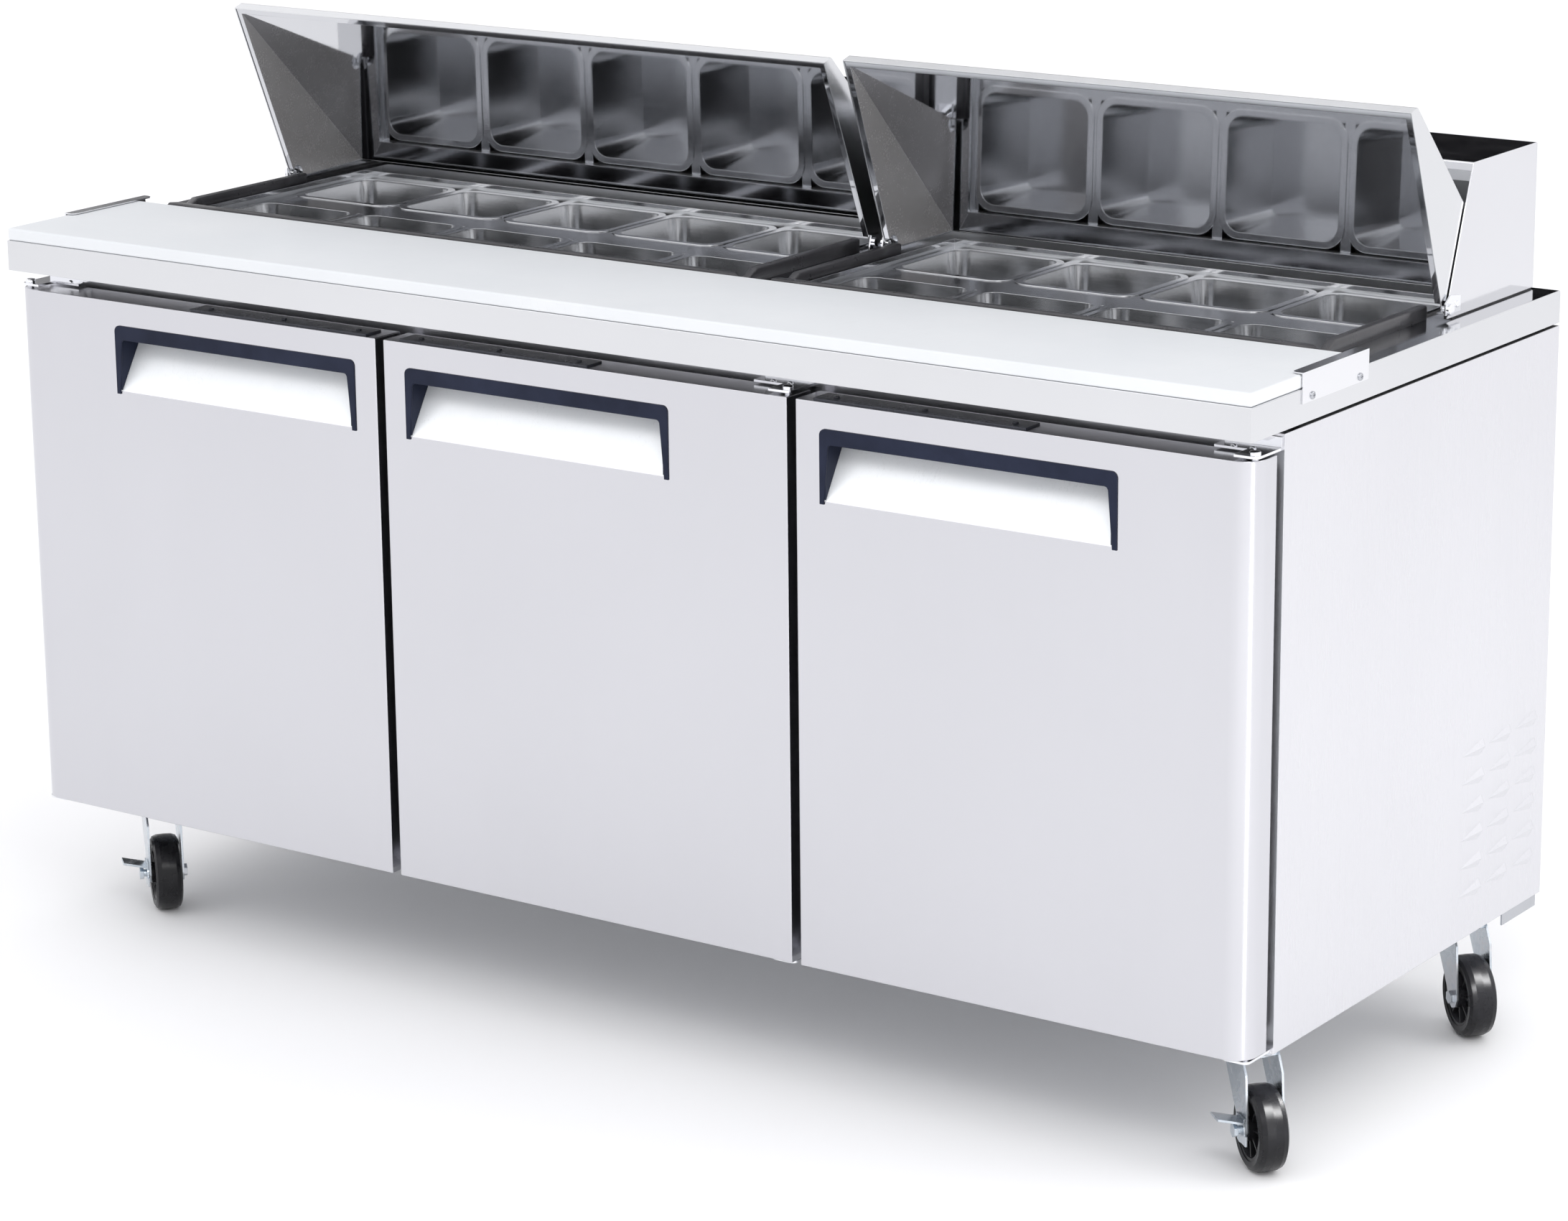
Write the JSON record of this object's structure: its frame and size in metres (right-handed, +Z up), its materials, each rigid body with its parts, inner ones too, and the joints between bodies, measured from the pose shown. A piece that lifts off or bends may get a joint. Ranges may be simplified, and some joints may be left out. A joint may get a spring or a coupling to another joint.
{
  "type": "sandwich prep table",
  "caption": "Stainless refrigerated prep table on casters, with hinged doors, flip-up lids over food pans, a rear hood and a white cutting board.",
  "frame": {"origin": "on the floor under the middle of the worktop, midway between its ends and its front and back edges", "axes": "+X to the right seen from the front, +Y to the back, +Z up"},
  "size_m": [1.876, 0.7705, 1.1777],
  "materials": {
    "polished_steel": "polished",
    "brushed_steel": "satin",
    "door_steel": "satin",
    "liner_sheet": "satin",
    "foam": "matte",
    "lid_core": "polished",
    "door_core": "satin",
    "black_rubber": "matte",
    "black_plastic": "satin",
    "chrome_hardware": "polished",
    "zinc_plate": "satin",
    "motor_black": "satin",
    "copper_line": "satin",
    "white_board": "matte",
    "wheel_tread": "gloss"
  },
  "bodies": {
    "cabinet": {"worktop": "polished_steel", "lid_seals": "black_rubber", "side_panels": "brushed_steel", "back_panel": "brushed_steel", "bottom_panel": "brushed_steel", "face_frame": "brushed_steel", "cabinet_insulation": "foam", "cabinet_liner": "liner_sheet", "pan_support_bars": "brushed_steel", "food_pans_rear": "brushed_steel", "board_brackets": "brushed_steel", "hood_shell": "polished_steel", "hood_liner": "foam", "lid_pivot_brackets": "chrome_hardware", "door_hinge_brackets": "chrome_hardware", "wire_shelves": "chrome_hardware", "shelf_standards": "brushed_steel", "evaporator": "liner_sheet", "fan_motors": "motor_black", "condenser": "liner_sheet", "compressor": "motor_black", "machine_tray": "zinc_plate", "refrigerant_lines": "copper_line", "temperature_control": "black_plastic", "power_inlet_gland": "black_plastic", "caster_plates": "zinc_plate", "fasteners": "chrome_hardware"},
    "door_left": {"door_left_shell": "door_steel", "door_left_inner_panel": "door_core", "door_left_gasket": "black_rubber", "door_left_handle": "black_plastic", "door_left_top_trim": "black_plastic"},
    "door_centre": {"door_centre_shell": "door_steel", "door_centre_inner_panel": "door_core", "door_centre_gasket": "black_rubber", "door_centre_handle": "black_plastic", "door_centre_top_trim": "black_plastic"},
    "door_right": {"door_right_shell": "door_steel", "door_right_inner_panel": "door_core", "door_right_gasket": "black_rubber", "door_right_handle": "black_plastic", "door_right_top_trim": "black_plastic"},
    "lid_left": {"lid_left_shell": "polished_steel", "lid_left_liner": "lid_core"},
    "lid_right": {"lid_right_shell": "polished_steel", "lid_right_liner": "lid_core"},
    "board": {"cutting_board": "white_board"},
    "front_pans": {"food_pans_front": "brushed_steel"},
    "evaporator_rotor": {"evaporator_fan": "black_plastic"},
    "condenser_rotor": {"condenser_fan": "black_plastic"},
    "caster_front_left": {"caster_front_left_fork": "zinc_plate"},
    "wheel_front_left": {"caster_front_left_wheel": "wheel_tread"},
    "brake_front_left": {"caster_front_left_brake": "zinc_plate"},
    "caster_front_right": {"caster_front_right_fork": "zinc_plate"},
    "wheel_front_right": {"caster_front_right_wheel": "wheel_tread"},
    "brake_front_right": {"caster_front_right_brake": "zinc_plate"},
    "caster_rear_left": {"caster_rear_left_fork": "zinc_plate"},
    "wheel_rear_left": {"caster_rear_left_wheel": "wheel_tread"},
    "caster_rear_right": {"caster_rear_right_fork": "zinc_plate"},
    "wheel_rear_right": {"caster_rear_right_wheel": "wheel_tread"}
  },
  "joints": [
    {"name": "door_left_hinge", "type": "hinge", "parent": "cabinet", "child": "door_left", "pos_m": [-0.912, -0.352, 0.5], "axis": [0, 0, -1], "range_deg": [0, 100]},
    {"name": "door_centre_hinge", "type": "hinge", "parent": "cabinet", "child": "door_centre", "pos_m": [0.2928, -0.352, 0.5], "axis": [0, 0, 1], "range_deg": [0, 100]},
    {"name": "door_right_hinge", "type": "hinge", "parent": "cabinet", "child": "door_right", "pos_m": [0.912, -0.352, 0.5], "axis": [0, 0, 1], "range_deg": [0, 100]},
    {"name": "lid_left_hinge", "type": "hinge", "parent": "cabinet", "child": "lid_left", "pos_m": [-0.4, 0.145, 0.929], "axis": [-1, 0, 0], "range_deg": [-67.7, 2]},
    {"name": "lid_right_hinge", "type": "hinge", "parent": "cabinet", "child": "lid_right", "pos_m": [0.49, 0.145, 0.929], "axis": [-1, 0, 0], "range_deg": [-69.7, 0]},
    {"name": "board_slide", "type": "slide", "parent": "cabinet", "child": "board", "axis": [0, -1, 0], "range_m": [0, 0.16]},
    {"name": "front_pans_lift", "type": "slide", "parent": "cabinet", "child": "front_pans", "axis": [0, 0, 1], "range_m": [0, 0.13]},
    {"name": "evaporator_fan_spin", "type": "hinge", "parent": "cabinet", "child": "evaporator_rotor", "pos_m": [0, 0.246, 0.68], "axis": [0, 1, 0], "continuous": true},
    {"name": "condenser_fan_spin", "type": "hinge", "parent": "cabinet", "child": "condenser_rotor", "pos_m": [0.47, 0.25, 0.29], "axis": [1, 0, 0], "continuous": true},
    {"name": "caster_front_left_swivel", "type": "hinge", "parent": "cabinet", "child": "caster_front_left", "pos_m": [-0.812, -0.262, 0.1375], "axis": [0, 0, 1], "continuous": true},
    {"name": "caster_front_left_wheel_spin", "type": "hinge", "parent": "caster_front_left", "child": "wheel_front_left", "pos_m": [-0.78332, -0.28693, 0.051], "axis": [0.6561, 0.7547, 0], "continuous": true},
    {"name": "caster_front_left_brake_lever", "type": "hinge", "parent": "caster_front_left", "child": "brake_front_left", "pos_m": [-0.78332, -0.28693, 0.051], "axis": [0.6561, 0.7547, 0], "range_deg": [-25, 0]},
    {"name": "caster_front_right_swivel", "type": "hinge", "parent": "cabinet", "child": "caster_front_right", "pos_m": [0.872, -0.265, 0.1375], "axis": [0, 0, 1], "continuous": true},
    {"name": "caster_front_right_wheel_spin", "type": "hinge", "parent": "caster_front_right", "child": "wheel_front_right", "pos_m": [0.90068, -0.28993, 0.051], "axis": [0.6561, 0.7547, 0], "continuous": true},
    {"name": "caster_front_right_brake_lever", "type": "hinge", "parent": "caster_front_right", "child": "brake_front_right", "pos_m": [0.90068, -0.28993, 0.051], "axis": [0.6561, 0.7547, 0], "range_deg": [-25, 0]},
    {"name": "caster_rear_left_swivel", "type": "hinge", "parent": "cabinet", "child": "caster_rear_left", "pos_m": [-0.812, 0.262, 0.1375], "axis": [0, 0, 1], "continuous": true},
    {"name": "caster_rear_left_wheel_spin", "type": "hinge", "parent": "caster_rear_left", "child": "wheel_rear_left", "pos_m": [-0.78332, 0.23707, 0.051], "axis": [0.6561, 0.7547, 0], "continuous": true},
    {"name": "caster_rear_right_swivel", "type": "hinge", "parent": "cabinet", "child": "caster_rear_right", "pos_m": [0.872, 0.262, 0.1375], "axis": [0, 0, 1], "continuous": true},
    {"name": "caster_rear_right_wheel_spin", "type": "hinge", "parent": "caster_rear_right", "child": "wheel_rear_right", "pos_m": [0.90068, 0.23707, 0.051], "axis": [0.6561, 0.7547, 0], "continuous": true}
  ]
}
